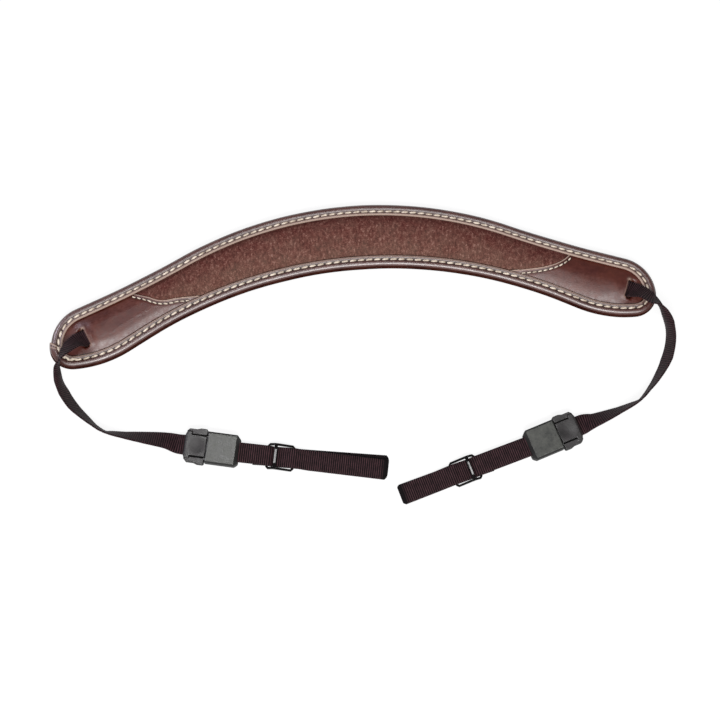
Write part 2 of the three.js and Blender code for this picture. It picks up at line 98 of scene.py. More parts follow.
def placeCamera():
    data = bpy.data.cameras.new("camera")
    data.lens = cameraView["lens"]
    data.sensor_width = cameraView["sensor"]
    data.clip_start = 0.01
    camera = bpy.data.objects.new("camera", data)
    camera.location = Vector(cameraView["place"]) * mm
    camera.rotation_euler = [math.radians(a) for a in cameraView["turn"]]
    bpy.context.collection.objects.link(camera)
    bpy.context.scene.camera = camera


def lightStudio():
    for panel in lightPanels:
        data = bpy.data.lights.new(panel["name"], "AREA")
        data.shape = "RECTANGLE"
        data.size, data.size_y = (s * mm for s in panel["size"])
        data.energy = panel["watts"]
        data.color = toLinear(panel.get("colour", "#ffffff"))[:3]
        light = bpy.data.objects.new(panel["name"], data)
        light.location = Vector(panel["place"]) * mm
        toAim = Vector(panel["aim"]) - Vector(panel["place"])
        light.rotation_euler = toAim.to_track_quat("-Z", "Y").to_euler()
        bpy.context.collection.objects.link(light)
    world = bpy.data.worlds.new("white_room")
    world.use_nodes = True
    sky = world.node_tree.nodes["Background"]
    sky.inputs["Color"].default_value = toLinear(studio["skyColour"])
    sky.inputs["Strength"].default_value = studio["skyStrength"]
    bpy.context.scene.world = world
    bpy.context.scene.view_settings.view_transform = "Standard"


def layFloor():
    bm = bmesh.new()
    bmesh.ops.create_grid(bm, x_segments=1, y_segments=1, size=studio["floorWidth"] / 2)
    bmesh.ops.translate(bm, verts=bm.verts, vec=(0, 0, -studio["floorDrop"] * mm))
    mesh = bpy.data.meshes.new("floor")
    bm.to_mesh(mesh)
    bm.free()
    # matt card lit from below: even and white, with no gloss and hardly a shadow
    card = startMaterial("matt_card", Base_Color=toLinear(studio["floorColour"]), Roughness=0.95,
                         Specular_IOR_Level=0.1, Emission_Color=toLinear("#ffffff"),
                         Emission_Strength=studio["floorGlow"])[0]
    mesh.materials.append(card)
    floor = bpy.data.objects.new("floor", mesh)
    bpy.context.collection.objects.link(floor)


placeCamera()
lightStudio()
layFloor()
print("studio set")

# materials

# Oiled chrome-tanned leather: brown, mottled where it is handled, with a soft gloss over a fine pebble.
# A cut edge shows the pale pinkish fibre; stitch grooves are painted darker as shade, with the dark of their
# holes. Both are dull.
leatherFinishes = {
    "binding": dict(dark="#30100b", light="#41211b", roughness=0.38, gloss=0.63, shine=0.58,
                    grainMm=0.75, depthMm=0.03),
    # side: a darker copy without gloss for the binding's outer walls, painted shade
    "side": dict(dark="#220c09", light="#331a15", roughness=0.7, gloss=0.0, shine=0.0,
                 grainMm=0.75, depthMm=0.03),
    "ends": dict(dark="#340d08", light="#451d13", roughness=0.38, gloss=0.0, shine=0.44,
                 grainMm=0.85, depthMm=0.03),
    "back": dict(dark="#321913", light="#472b23", roughness=0.50, gloss=0.1, shine=0.4,
                 grainMm=0.90, depthMm=0.05),
}
leatherLook = dict(mottleMm=9.0, cloudMm=1.8, porePatchMm=4.0, paleEdge="#8b776b", seamShade="#150e07",
                   wornRoughness=0.85, coatRoughness=0.34)


def makeLeather(part):
    finish = leatherFinishes[part]
    look = leatherLook
    material, tree, shader = startMaterial("oiled_leather_" + part, IOR=1.5,
                                           Specular_IOR_Level=finish["shine"],
                                           Coat_Roughness=look["coatRoughness"])
    place = addNode(tree, "TexCoord", "Object")
    mottle = addNode(tree, "TexNoise", "Fac", {"Vector": place, "Scale": perMm(look["mottleMm"]),
                                               "Detail": 5.0, "Roughness": 0.62})
    tone = addNode(tree, "ValToRGB", "Color", {"Fac": mottle},
                   stops=[(0.32, finish["dark"]), (0.68, finish["light"])])
    cloud = addNode(tree, "TexNoise", "Fac", {"Vector": place, "Scale": perMm(look["cloudMm"]),
                                              "Detail": 3.0})
    clouded = addNode(tree, "MixRGB", "Color", {"Fac": 0.35, "Color1": tone, "Color2": cloud},
                      blend_type="OVERLAY")
    seam = addNode(tree, "Attribute", "Fac", attribute_name="seamShade")
    grooved = addNode(tree, "MixRGB", "Color", {"Fac": seam, "Color1": clouded,
                                                "Color2": toLinear(look["seamShade"])})
    # pale cut edges, and painted light on the far flange and at the slot corners
    cutOrLit = addNode(tree, "Attribute", "Fac", attribute_name="paleEdge")
    edged = addNode(tree, "MixRGB", "Color", {"Fac": cutOrLit, "Color1": grooved,
                                              "Color2": toLinear(look["paleEdge"])})
    grain = addNode(tree, "TexVoronoi", "Distance", {"Vector": place, "Scale": perMm(finish["grainMm"])},
                    feature="DISTANCE_TO_EDGE")
    pebble = addNode(tree, "MapRange", "Result", {"Value": grain, "From Max": 0.12})
    wrinkle = addNode(tree, "TexNoise", "Fac", {"Vector": place, "Scale": perMm(look["porePatchMm"]),
                                                "Detail": 6.0, "Roughness": 0.7})
    relief = addNode(tree, "Math", "Value", {0: pebble, 1: wrinkle}, operation="ADD")
    bump = addNode(tree, "Bump", "Normal", {"Strength": 0.25, "Distance": finish["depthMm"] * mm,
                                            "Height": relief})
    dull = addNode(tree, "MapRange", "Result", {"Value": cloud, "From Min": 0.3, "From Max": 0.7,
                                                "To Min": finish["roughness"] - 0.05,
                                                "To Max": finish["roughness"] + 0.09})
    # the pale marks and the painted seam shade are both made dull
    litOrDull = addNode(tree, "Math", "Value", {0: cutOrLit, 1: seam}, operation="MAXIMUM")
    dry = addNode(tree, "MixRGB", "Color", {"Fac": litOrDull, "Color1": dull,
                                            "Color2": [look["wornRoughness"]] * 3 + [1.0]})
    coat = addNode(tree, "MapRange", "Result", {"Value": litOrDull, "To Min": finish["gloss"], "To Max": 0.0})
    joinShader(tree, shader, Base_Color=edged, Roughness=dry, Coat_Weight=coat, Normal=bump)
    return material


# Needled wool felt: matt, heathered from dark and pale dyed fibres that mostly run across the pad.
# Single fibres are far too fine to show, so the streaks are drawn about a millimetre wide.
feltLook = dict(streakMm=1.05, fuzzMm=0.5, patchMm=5.0, depthMm=0.18, turn=0.3, sheen="#a78b82",
                stops=[(0.38, "#150403"), (0.455, "#381a16"), (0.545, "#5a3830"), (0.62, "#85675e")],
                warm="#451a19", cool="#5d4a40", rimShaded="#230b09")


def makeFelt():
    look = feltLook
    material, tree, shader = startMaterial("wool_felt", IOR=1.45, Roughness=0.95, Specular_IOR_Level=0.1,
                                           Sheen_Weight=0.05, Sheen_Roughness=0.6,
                                           Sheen_Tint=toLinear(look["sheen"]))
    place = addNode(tree, "TexCoord", "Object")
    streaks = []
    for turn in (look["turn"], -look["turn"]):
        laid = addNode(tree, "Mapping", "Vector", {"Vector": place, "Rotation": (0, 0, turn),
                                                   "Scale": (1.0, 0.55, 1.0)})
        streaks.append(addNode(tree, "TexNoise", "Fac", {"Vector": laid, "Scale": perMm(look["streakMm"]),
                                                         "Detail": 4.0, "Roughness": 0.6}))
    crossed = addNode(tree, "Math", "Value", {0: streaks[0], 1: streaks[1]}, operation="ADD")
    fuzz = addNode(tree, "TexNoise", "Fac", {"Vector": place, "Scale": perMm(look["fuzzMm"]), "Detail": 2.0})
    mixed = addNode(tree, "Math", "Value", {0: crossed, 1: fuzz}, operation="ADD")
    heather = addNode(tree, "Math", "Value", {0: mixed, 1: 1 / 3}, operation="MULTIPLY")
    tone = addNode(tree, "ValToRGB", "Color", {"Fac": heather}, stops=look["stops"])
    patch = addNode(tree, "TexNoise", "Fac", {"Vector": place, "Scale": perMm(look["patchMm"]),
                                              "Detail": 3.0})
    # painted sheen: the near half of the felt turns greyer and paler, mixed with random tone patches
    nearSheen = addNode(tree, "Attribute", "Fac", attribute_name="nearSheen")
    patchAndSheen = addNode(tree, "Math", "Value", {0: patch, 1: nearSheen}, operation="ADD")
    shade = addNode(tree, "Math", "Value", {0: patchAndSheen, 1: 0.5}, operation="MULTIPLY")
    patchSheenTone = addNode(tree, "ValToRGB", "Color", {"Fac": shade},
                  stops=[(0.3, look["warm"]), (0.7, look["cool"])])
    patchSheenToned = addNode(tree, "MixRGB", "Color", {"Fac": 0.42, "Color1": tone, "Color2": patchSheenTone})
    # painted shade along the binding and towards the ends
    rimShade = addNode(tree, "Attribute", "Fac", attribute_name="rimShade")
    rimShaded = addNode(tree, "MixRGB", "Color", {"Fac": rimShade, "Color1": patchSheenToned,
                                                "Color2": toLinear(look["rimShaded"])})
    bump = addNode(tree, "Bump", "Normal", {"Strength": 0.6, "Distance": look["depthMm"] * mm,
                                            "Height": heather})
    joinShader(tree, shader, Base_Color=rimShaded, Normal=bump)
    return material


# Waxed polyester thread: cream, slightly soiled, with a faint twist.
threadLook = dict(pale="#b4a899", soiled="#8c7e6f", soilMm=2.2, twistMm=0.45, depthMm=0.05)


def makeThread():
    look = threadLook
    material, tree, shader = startMaterial("waxed_thread", IOR=1.5, Roughness=0.6)
    place = addNode(tree, "TexCoord", "Object")
    soil = addNode(tree, "TexNoise", "Fac", {"Vector": place, "Scale": perMm(look["soilMm"]), "Detail": 3.0})
    tone = addNode(tree, "ValToRGB", "Color", {"Fac": soil},
                   stops=[(0.38, look["soiled"]), (0.58, look["pale"])])
    ply = addNode(tree, "TexNoise", "Fac", {"Vector": place, "Scale": perMm(look["twistMm"])})
    bump = addNode(tree, "Bump", "Normal", {"Strength": 0.3, "Distance": look["depthMm"] * mm, "Height": ply})
    joinShader(tree, shader, Base_Color=tone, Normal=bump)
    return material


# Ribbed nylon webbing: black with a brownish cast. The crests of the crosswise ribs are painted grey as
# highlight, the valleys darker as shade.
webbingLook = dict(valley="#040102", crest="#412a2e", fleckMm=2.6, yarnMm=0.5, depthMm=0.06)
waveTurns = 0.314  # a wave texture at this scale repeats once a unit


def makeWebbing():
    look = webbingLook
    material, tree, shader = startMaterial("nylon_webbing", IOR=1.5, Roughness=0.65, Specular_IOR_Level=0.07,
                                           Sheen_Weight=0.03, Sheen_Roughness=0.5)
    ribShading = addNode(tree, "Attribute", "Fac", attribute_name="ribShading")
    place = addNode(tree, "TexCoord", "Object")
    fleck = addNode(tree, "TexNoise", "Fac", {"Vector": place, "Scale": perMm(look["fleckMm"]),
                                              "Detail": 4.0, "Roughness": 0.75})
    lifted = addNode(tree, "Math", "Value", {0: ribShading, 1: fleck}, operation="MULTIPLY")
    tone = addNode(tree, "ValToRGB", "Color", {"Fac": lifted},
                   stops=[(0.1, look["valley"]), (0.66, look["crest"])])
    laid = addNode(tree, "UVMap", "UV", uv_map="along")
    yarn = addNode(tree, "TexWave", "Fac", {"Vector": laid, "Scale": waveTurns / look["yarnMm"],
                                            "Distortion": 1.5, "Detail": 1.0}, bands_direction="Y")
    bump = addNode(tree, "Bump", "Normal", {"Strength": 0.3, "Distance": look["depthMm"] * mm,
                                            "Height": yarn})
    joinShader(tree, shader, Base_Color=tone, Normal=bump)
    return material


# Moulded acetal clips: dark grey with a fine spark-eroded grain, so the light spreads over them.
# Their sides and seams are painted near black as shade, and made rough.
# Moulded nylon sliders: black and smooth, with a clean gloss.
plasticFinishes = {
    "acetal_clip": dict(dark="#1d1e1c", light="#363733", roughness=0.34, shine=0.42,
                        grainMm=0.35, depthMm=0.02),
    "acetal_tongue": dict(dark="#1b1a1a", light="#242122", roughness=0.36, shine=0.38,
                          grainMm=0.35, depthMm=0.03),
    "nylon_slider": dict(dark="#080707", light="#0e0c0d", roughness=0.1, shine=0.13,
                         grainMm=1.2, depthMm=0.001),
}
# side: the near-black colour of the painted shade on sides and seams
plasticLook = dict(cloudMm=3.5, side="#060505", sideRoughness=0.7)


def makePlastic(name):
    finish = plasticFinishes[name]
    look = plasticLook
    material, tree, shader = startMaterial(name, IOR=1.5, Specular_IOR_Level=finish["shine"])
    place = addNode(tree, "TexCoord", "Object")
    cloud = addNode(tree, "TexNoise", "Fac", {"Vector": place, "Scale": perMm(look["cloudMm"]),
                                              "Detail": 5.0, "Roughness": 0.7})
    tone = addNode(tree, "ValToRGB", "Color", {"Fac": cloud},
                   stops=[(0.35, finish["dark"]), (0.65, finish["light"])])
    grain = addNode(tree, "TexNoise", "Fac", {"Vector": place, "Scale": perMm(finish["grainMm"]),
                                              "Detail": 2.0})
    dull = addNode(tree, "MapRange", "Result", {"Value": cloud, "From Min": 0.3, "From Max": 0.7,
                                                "To Min": finish["roughness"] - 0.05,
                                                "To Max": finish["roughness"] + 0.06})
    bump = addNode(tree, "Bump", "Normal", {"Strength": 0.4, "Distance": finish["depthMm"] * mm,
                                            "Height": grain})
    # painted shade on the sides and seams
    side = addNode(tree, "Attribute", "Fac", attribute_name="shadedSide")
    sided = addNode(tree, "MixRGB", "Color", {"Fac": side, "Color1": tone,
                                              "Color2": toLinear(look["side"])})
    dry = addNode(tree, "MixRGB", "Color", {"Fac": side, "Color1": dull,
                                            "Color2": [look["sideRoughness"]] * 3 + [1.0]})
    joinShader(tree, shader, Base_Color=sided, Roughness=dry, Normal=bump)
    return material


bindingLeather = makeLeather("binding")
shadedSideLeather = makeLeather("side")
endLeather = makeLeather("ends")
backLeather = makeLeather("back")
woolFelt = makeFelt()
waxedThread = makeThread()
nylonWebbing = makeWebbing()
clipPlastic = makePlastic("acetal_clip")
tonguePlastic = makePlastic("acetal_tongue")
sliderPlastic = makePlastic("nylon_slider")
print("materials made")

# shared ways of making a piece


def addPiece(name, bm, material, stands=()):
    mesh = bpy.data.meshes.new(name)
    bm.to_mesh(mesh)
    bm.free()
    mesh.materials.append(material)
    mesh.shade_smooth()
    piece = bpy.data.objects.new(name, mesh)
    bpy.context.collection.objects.link(piece)
    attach(piece, "root")
    if stands:
        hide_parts(*stands)
    return piece


# A flat grid bent to shape: place(column, row) gives each point with its values for the named layers
def wrapGrid(columns, rows, place, layerNames=()):
    bm = bmesh.new()
    bmesh.ops.create_grid(bm, x_segments=columns, y_segments=rows, size=0.5)
    uvLayer = bm.loops.layers.uv.new("along")
    layers = [bm.verts.layers.float.new(name) for name in layerNames]
    flatPlace = {}
    for vert in bm.verts:
        column = round((vert.co.x + 0.5) * columns)
        row = round((vert.co.y + 0.5) * rows)
        point, flat, values = place(column, row)
        vert.co = point
        flatPlace[vert.index] = flat
        for layer, value in zip(layers, values):
            vert[layer] = value
    for face in bm.faces:
        for loop in face.loops:
            loop[uvLayer].uv = flatPlace[loop.vert.index]
    return bm


def closeGrid(bm):
    bmesh.ops.remove_doubles(bm, verts=bm.verts, dist=1e-7)
    bmesh.ops.holes_fill(bm, edges=[edge for edge in bm.edges if edge.is_boundary])
    bmesh.ops.recalc_face_normals(bm, faces=bm.faces)
    return bm


def copyNode(nodeName):
    bm = bmesh.new()
    bm.from_mesh(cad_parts[nodeName].data)
    bmesh.ops.remove_doubles(bm, verts=bm.verts, dist=1e-6)
    return bm


def smoothOver(bm, verts, rounds):
    for _ in range(rounds):
        bmesh.ops.smooth_vert(bm, verts=verts, factor=0.5, use_axis_x=True, use_axis_y=True, use_axis_z=True)


# A solid made over with small even faces, its edges rounded off; one with a place is squared up first
def evenNode(nodeName, voxelMm, rounds, place=None):
    bm = copyNode(nodeName)
    lie = Matrix.Identity(4)
    if place:
        lie = Matrix.Translation(Vector((place["x"], place["y"], 0.0)) * mm)
        lie @= Matrix.Rotation(math.radians(place["heading"]), 4, "Z")
    bmesh.ops.transform(bm, matrix=lie.inverted(), verts=bm.verts)
    mesh = bpy.data.meshes.new("blank")
    bm.to_mesh(mesh)
    bm.free()
    blank = bpy.data.objects.new("blank", mesh)
    bpy.context.collection.objects.link(blank)
    remesh = blank.modifiers.new("even", "REMESH")
    remesh.mode = "VOXEL"
    remesh.voxel_size = voxelMm * mm
    remesh.adaptivity = 0.0
    evaluated = blank.evaluated_get(bpy.context.evaluated_depsgraph_get())
    bm = bmesh.new()
    bm.from_mesh(evaluated.to_mesh())
    evaluated.to_mesh_clear()
    bpy.data.objects.remove(blank)
    bpy.data.meshes.remove(mesh)
    smoothOver(bm, bm.verts, rounds)
    bmesh.ops.transform(bm, matrix=lie, verts=bm.verts)
    return bm


def clamp(value):
    return min(1.0, max(0.0, value))


def smoothStep(low, high, value):
    t = clamp((value - low) / (high - low))
    return t * t * (3 - 2 * t)


def bell(value):
    return math.exp(-value * value)


def alongTable(table, value):
    for (a, low), (b, high) in zip(table, table[1:]):
        if value <= b:
            return low + (high - low) * max(0.0, (value - a) / (b - a))
    return table[-1][1]


# pad rim: half of it walked clockwise from the middle of the far edge, then mirrored

padRim = dict(halfWidth=16.7, nearRadius=219.0, nearTurn=28.0, stretches=[
    dict(turn=-25.0, radius=197.0), dict(turn=5.0, radius=573.0), dict(run=10.0),
    dict(turn=-70.0, radius=20.0), dict(run=0.3), dict(turn=-90.0, radius=11.3),
    dict(turn=-28.0, radius=60.0)])


def walkRim(start, stretches, spacing):
    x, y, heading, along = start
    stations = []
    for stretch in stretches:
        turn = math.radians(stretch.get("turn", 0.0))
        length = abs(turn) * stretch["radius"] if turn else stretch["run"]
        count = max(1, round(length / spacing))
        half = turn / count / 2
        chord = 2 * stretch["radius"] * math.sin(abs(half)) if turn else length / count
        for _ in range(count):
            stations.append((x, y, heading, along))
            x += chord * math.cos(heading + half)
            y += chord * math.sin(heading + half)
            heading += 2 * half
            along += length / count
    return stations, (x, y, heading, along)


def treeOf(points):
    tree = kdtree.KDTree(len(points))
    for i, point in enumerate(points):
        tree.insert((point[0], point[1], 0.0), i)
    tree.balance()
    return tree


def makeRim(spacing):
    tip, end = walkRim((0.0, padRim["halfWidth"], 0.0, 0.0), padRim["stretches"], spacing)
    turn = math.radians(padRim["nearTurn"])
    run = (end[0] - padRim["nearRadius"] * math.sin(turn)) / math.cos(turn)
    nearSide = [dict(run=run), dict(turn=padRim["nearTurn"], radius=padRim["nearRadius"])]
    near, middle = walkRim(end, nearSide, spacing)
    right = [(x, y, -math.sin(h), math.cos(h), along) for x, y, h, along in tip + near]
    total = 2 * middle[3]
    left = [(-x, y, -outX, outY, total - along) for x, y, outX, outY, along in reversed(right[1:])]
    return right + [(0.0, middle[1], 0.0, -1.0, middle[3])] + left, total


rimFine, rimLength = makeRim(0.5)
rimTree = treeOf(rimFine)


def insetAt(x, y):
    return rimTree.find((x, y, 0.0))[2]


def nearestRim(x, y):
    return rimFine[rimTree.find((x, y, 0.0))[1]]


# edge binding: one leather strip folded round the rim, its end lapped over its start at the left tip

# each point of the section: inset from the rim, height, and how much it is a cut edge
bindingShape = dict(
    spacing=0.62, outerPoints=33, middle=3.3, seamInset=4.05, seamPitch=4.1, seamReach=1.1, pucker=0.16,
    sway=0.12, seamShadeStrength=0.6, farFlangeLight=0.22, sideTop=5.8, sideFar=1.06, sideNear=0.68,
    section=[(6.02, 5.25, 1.0), (6.02, 5.8, 1.0), (5.85, 6.22, 1.0), (5.55, 6.38, 0.65), (5.1, 6.44, 0.1),
             (4.7, 6.32, 0.0), (4.4, 6.0, 0.0), (4.05, 5.75, 0.0), (3.7, 6.0, 0.0), (3.4, 6.36, 0.0),
             (3.0, 6.58, 0.0), (2.5, 6.66, 0.0), (2.0, 6.6, 0.0), (1.5, 6.4, 0.0), (1.05, 6.08, 0.0),
             (0.65, 5.62, 0.0), (0.35, 5.02, 0.0), (0.12, 4.25, 0.0), (0.0, 3.3, 0.0), (0.12, 2.35, 0.0),
             (0.35, 1.58, 0.0), (0.65, 0.98, 0.0), (1.05, 0.52, 0.0), (1.55, 0.2, 0.0), (2.2, 0.03, 0.0),
             (3.1, 0.0, 0.0), (3.7, 0.2, 0.0), (4.05, 0.42, 0.0), (4.4, 0.2, 0.0), (5.0, 0.0, 0.0),
             (5.75, 0.05, 0.3), (6.02, 0.3, 1.0), (6.02, 1.2, 1.0), (4.2, 1.2, 0.0), (2.4, 1.2, 0.0),
             (1.5, 2.1, 0.0), (1.2, 3.2, 0.0), (1.5, 4.3, 0.0), (2.4, 5.2, 0.0), (4.2, 5.2, 0.0)])


# fromMiddle is along the rim, from the middle of the far edge to where the tip meets the near corner
lapShape = dict(fromMiddle=170.69, length=17.75, rise=0.8, slant=0.75, reach=3.2, step=0.12, outward=3.2)
lapEnd = rimLength - lapShape["fromMiddle"]
lapStart = lapEnd - lapShape["length"]


def lapAt(along, inset):
    # how far the lap is raised, 1 at its raw end and 0 where the strip lies flat again, and how pale it is
    step = lapShape["step"]
    end = lapEnd + lapShape["reach"] - lapShape["slant"] * inset
    if along > end + step:
        return 0.0, 0.0
    fade = smoothStep(lapStart, lapEnd - 2, along)
    raised = 1.0 - smoothStep(end - step, end + step, along)
    score = smoothStep(end - 2.9, end - 2.5, along) * smoothStep(end - 1.8, end - 2.2, along)
    return fade * raised, fade * max(smoothStep(end - 1.1, end - 0.7, along), 0.7 * score)


def makeBinding():
    shape = bindingShape
    section = shape["section"]
    stations = list(makeRim(shape["spacing"])[0])
    for station in makeRim(lapShape["step"])[0]:
        if lapEnd - 3 < station[4] < lapEnd + 4:
            stations.append(station)
    stations.sort(key=lambda station: station[4])
    count = len(stations)

    def place(column, row):
        inset, z, raw = section[column % len(section)]
        x, y, outX, outY, along = stations[row % count]
        lap, lapEdge = lapAt(along, inset)
        outside = column % len(section) < shape["outerPoints"]
        beat = 0.5 + 0.5 * math.cos(2 * math.pi * along / shape["seamPitch"])
        fromSeam = (inset - shape["seamInset"]) / shape["seamReach"]
        pull = shape["pucker"] * beat * bell(fromSeam) if outside else 0.0
        wander = noise.noise(Vector((along * 0.05, inset * 0.2, 3.0)))
        sway = shape["sway"] * wander if outside and inset < 3 else 0.0
        rise = lapShape["rise"] * lap if outside else 0.0
        upward = max(0.0, z / shape["middle"] - 1)
        reach = rise * max(0.0, 1 - inset / lapShape["outward"]) - inset + sway
        height = z + rise * upward + (-pull if z > shape["middle"] else pull)
        spread = 0.85 if outY > 0 and inset < shape["seamInset"] else 1.5
        # painted shade in the stitch groove, darker on the near side
        seamShade = (shape["seamShadeStrength"] - 0.2 * outY) * bell(fromSeam * spread) if outside else 0.0
        # painted light: the far flange between the seam and the cut edge is paled
        litOrDull = shape["farFlangeLight"] * max(0.0, outY) if outside and z > 5 and inset > shape["seamInset"] else 0.0
        edge = max(raw, litOrDull, lapEdge if outside and z > 0.5 else 0.0)
        point = Vector((x + outX * reach, y + outY * reach, max(0.0, height))) * mm
        return point, (along, inset), (edge, seamShade)

    bm = closeGrid(wrapGrid(len(section), count, place, ("paleEdge", "seamShade")))
    # the outer walls take the darker side leather, painted shade
    for face in bm.faces:
        x, y, z = face.calc_center_median() / mm
        outY = nearestRim(x, y)[3]
        sideInset = shape["sideFar"] if outY > 0.2 else shape["sideNear"]
        face.material_index = 1 if z < shape["sideTop"] and insetAt(x, y) < sideInset else 0
    piece = addPiece("binding_strip", bm, bindingLeather, ["edge_binding"])
    piece.data.materials.append(shadedSideLeather)


# stitches: short, fat, slightly turned, with both ends pulled down into their holes

stitchShape = dict(length=3.5, width=1.1, height=0.72, turn=7.0, wander=7.0, plump=1.7, dive=8.8,
                   topZ=6.12, farLower=0.12, underZ=0.4, beside=0.75)


def addStitch(bm, x, y, z, heading, turn, down=1.0, size=1.0):
    lie = Matrix.Translation(Vector((x, y, z)) * mm) @ Matrix.Rotation(heading + math.radians(turn), 4, "Z")
    spread = Vector((stitchShape["length"], stitchShape["width"], stitchShape["height"])) * size * mm
    made = bmesh.ops.create_uvsphere(bm, u_segments=8, v_segments=6, radius=0.5,
                                     matrix=Matrix.Rotation(math.pi / 2, 4, "Y"))
    for vert in made["verts"]:
        x0 = vert.co.x
        vert.co.yz *= 1.0 + stitchShape["plump"] * x0 * x0
        vert.co.z -= down * stitchShape["dive"] * x0 ** 4
    bmesh.ops.transform(bm, matrix=lie @ Matrix.Diagonal((*spread, 1.0)), verts=made["verts"])


def seamPoints(path, pitch, start=0.0):
    points = []
    due = start
    gone = 0.0
    for (x0, y0), (x1, y1) in zip(path, path[1:]):
        step = math.hypot(x1 - x0, y1 - y0)
        while step > 0 and due <= gone + step:
            t = (due - gone) / step
            points.append((x0 + (x1 - x0) * t, y0 + (y1 - y0) * t, math.atan2(y1 - y0, x1 - x0)))
            due += pitch
        gone += step
    return points


def makeBindingStitches():
    inset = bindingShape["seamInset"]
    path = [(x - outX * inset, y - outY * inset) for x, y, outX, outY, _ in rimFine]
    path.append(path[0])
    length = sum(math.dist(a, b) for a, b in zip(path, path[1:]))
    pitch = length / round(length / bindingShape["seamPitch"])
    bm = bmesh.new()
    for x, y, heading in seamPoints(path, pitch, pitch / 2)[:round(length / pitch)]:
        wander = noise.noise(Vector((x * 0.3, y * 0.3, 1.0)))
        turn = stitchShape["turn"] + stitchShape["wander"] * wander
        _, _, outX, outY, along = nearestRim(x, y)
        overLap = 0.79 * lapShape["rise"] * lapAt(along, inset)[0]
        height = stitchShape["topZ"] - stitchShape["farLower"] * max(0.0, outY) + 0.05 * wander + overLap
        addStitch(bm, x, y, height, heading, turn)
        addStitch(bm, x, y, stitchShape["underZ"], heading, -turn, down=-1.0)
        if lapStart + 2 < along < lapStart + lapShape["length"] - 2:
            # the seam starts and ends here, so a second run lies beside the first
            besideX = x - outX * stitchShape["beside"] - outY * pitch / 2
            besideY = y - outY * stitchShape["beside"] + outX * pitch / 2
            addStitch(bm, besideX, besideY, height, heading, turn)
    addPiece("binding_stitches", bm, waxedThread)


makeBinding()
makeBindingStitches()
print("binding stitched")

# pad layers: felt between the end leathers, and a plain leather underneath

# heights by inset from the rim; nearer the rim than underBinding the binding covers them
cadTop = {"felt": [(6.3, 4.9), (8.4, 5.7), (10.8, 6.1)], "ends": [(6.3, 4.9), (8.4, 6.2), (10.8, 6.8)]}
underBinding = (5.9, 6.7)
puff = {"felt": dict(base=4.6, rise=2.4, start=5.8, reach=9.0),
        "left": dict(base=4.7, rise=2.3, start=5.6, reach=7.2),
        "right": dict(base=4.7, rise=2.4, start=5.6, reach=9.5)}
swooshes = {
    "right": dict(farRim=(114.5, -11.0), start=(111.5, -19.0), pulls=[(106.5, -25.0), (98.0, -26.0)],
                  end=(88.0, -25.4), nearFlange=(80.5, -25.1), nearRim=(70.0, -33.0)),
    "left": dict(farRim=(116.5, -16.3), start=(101.0, -22.3), pulls=[(96.8, -24.6), (94.6, -24.9)],
                 end=(88.0, -23.8), nearFlange=(76.5, -23.3), nearRim=(68.5, -29.5))}
frontSeam = dict(inside=1.85, pitch=2.75, size=0.68, width=0.8, depth=0.3, lift=0.12)
webbingSlots = {"right": dict(x=137.4, y=-40.0, heading=-22.0),
                "left": dict(x=-133.6, y=-39.2, heading=202.0)}
slotShape = dict(length=7.5, half=5.6, bulge=0.6, lipLift=0.35, slit=3.0, tight=4.4, slope=0.07)


def puffRise(part, inset):
    # from the solid's plain slopes to a soft dome
    dome = puff[part]
    turn = clamp((inset - dome["start"]) / dome["reach"]) * math.pi / 2
    solid = cadTop["felt" if part == "felt" else "ends"]
    rise = dome["base"] + dome["rise"] * math.sin(turn) - alongTable(solid, inset)
    return rise * smoothStep(*underBinding, inset)


def swooshPath(hand):
    swoosh = swooshes[hand]
    ends = [Vector(swoosh[key]) for key in ("start", "end")]
    pulls = [Vector(pull) for pull in swoosh["pulls"]]
    points = [Vector(swoosh["farRim"])]
    for i in range(25):
        t = i / 24
        points.append(ends[0] * (1 - t) ** 3 + pulls[0] * 3 * t * (1 - t) ** 2
                      + pulls[1] * 3 * t * t * (1 - t) + ends[1] * t ** 3)
    points += [Vector(swoosh["nearFlange"]), Vector(swoosh["nearRim"])]
    return [Vector((sides[hand] * point.x, point.y)) for point in points]


def denser(path, step):
    points = []
    for a, b in zip(path, path[1:]):
        count = max(1, math.ceil((b - a).length / step))
        points += [a.lerp(b, i / count) for i in range(count)]
    return points + [path[-1]]


def inPlace(place, x, y):
    turn = math.radians(place["heading"])
    dx, dy = x - place["x"], y - place["y"]
    return dx * math.cos(turn) + dy * math.sin(turn), dy * math.cos(turn) - dx * math.sin(turn)


def fromPlace(place, u, v=0.0):
    turn = math.radians(place["heading"])
    x = place["x"] + u * math.cos(turn) - v * math.sin(turn)
    y = place["y"] + u * math.sin(turn) + v * math.cos(turn)
    return x, y


# The leather past the cut is drawn in under the webbing, which leaves only a slit
def slitPlace(along, across):
    length, half = slotShape["length"], slotShape["half"]
    beside = smoothStep(half + 4, half, abs(across))
    past = clamp(along / length) * clamp((length + 8 - along) / 8)
    pull = (length - slotShape["slit"]) * past
    squeeze = (half - slotShape["tight"]) * smoothStep(-3, 0, along) * smoothStep(length + 5, length, along)
    pinch = squeeze * clamp(abs(across) / half) * clamp((half + 3 - abs(across)) / 3)
    return along - pull * beside, across - math.copysign(pinch, across)


def slitDip(along, across, top):
    # leaves room under the webbing, which climbs as it leaves the slit
    room = 3.3 + 0.62 * (along - 1)
    return max(0.0, top - room) * smoothStep(0.6, 1.5, along) * smoothStep(5.4, 4.3, abs(across))


def seamPath(hand):
    side = sides[hand]
    path = denser(swooshPath(hand), 0.5)
    inner = []
    for a, b in zip(path, path[1:]):
        along = (b - a).normalized()
        inner.append(a + Vector((-along.y, along.x)) * side * frontSeam["inside"])
    return [point for point in inner if insetAt(point.x, point.y) > 6.9]


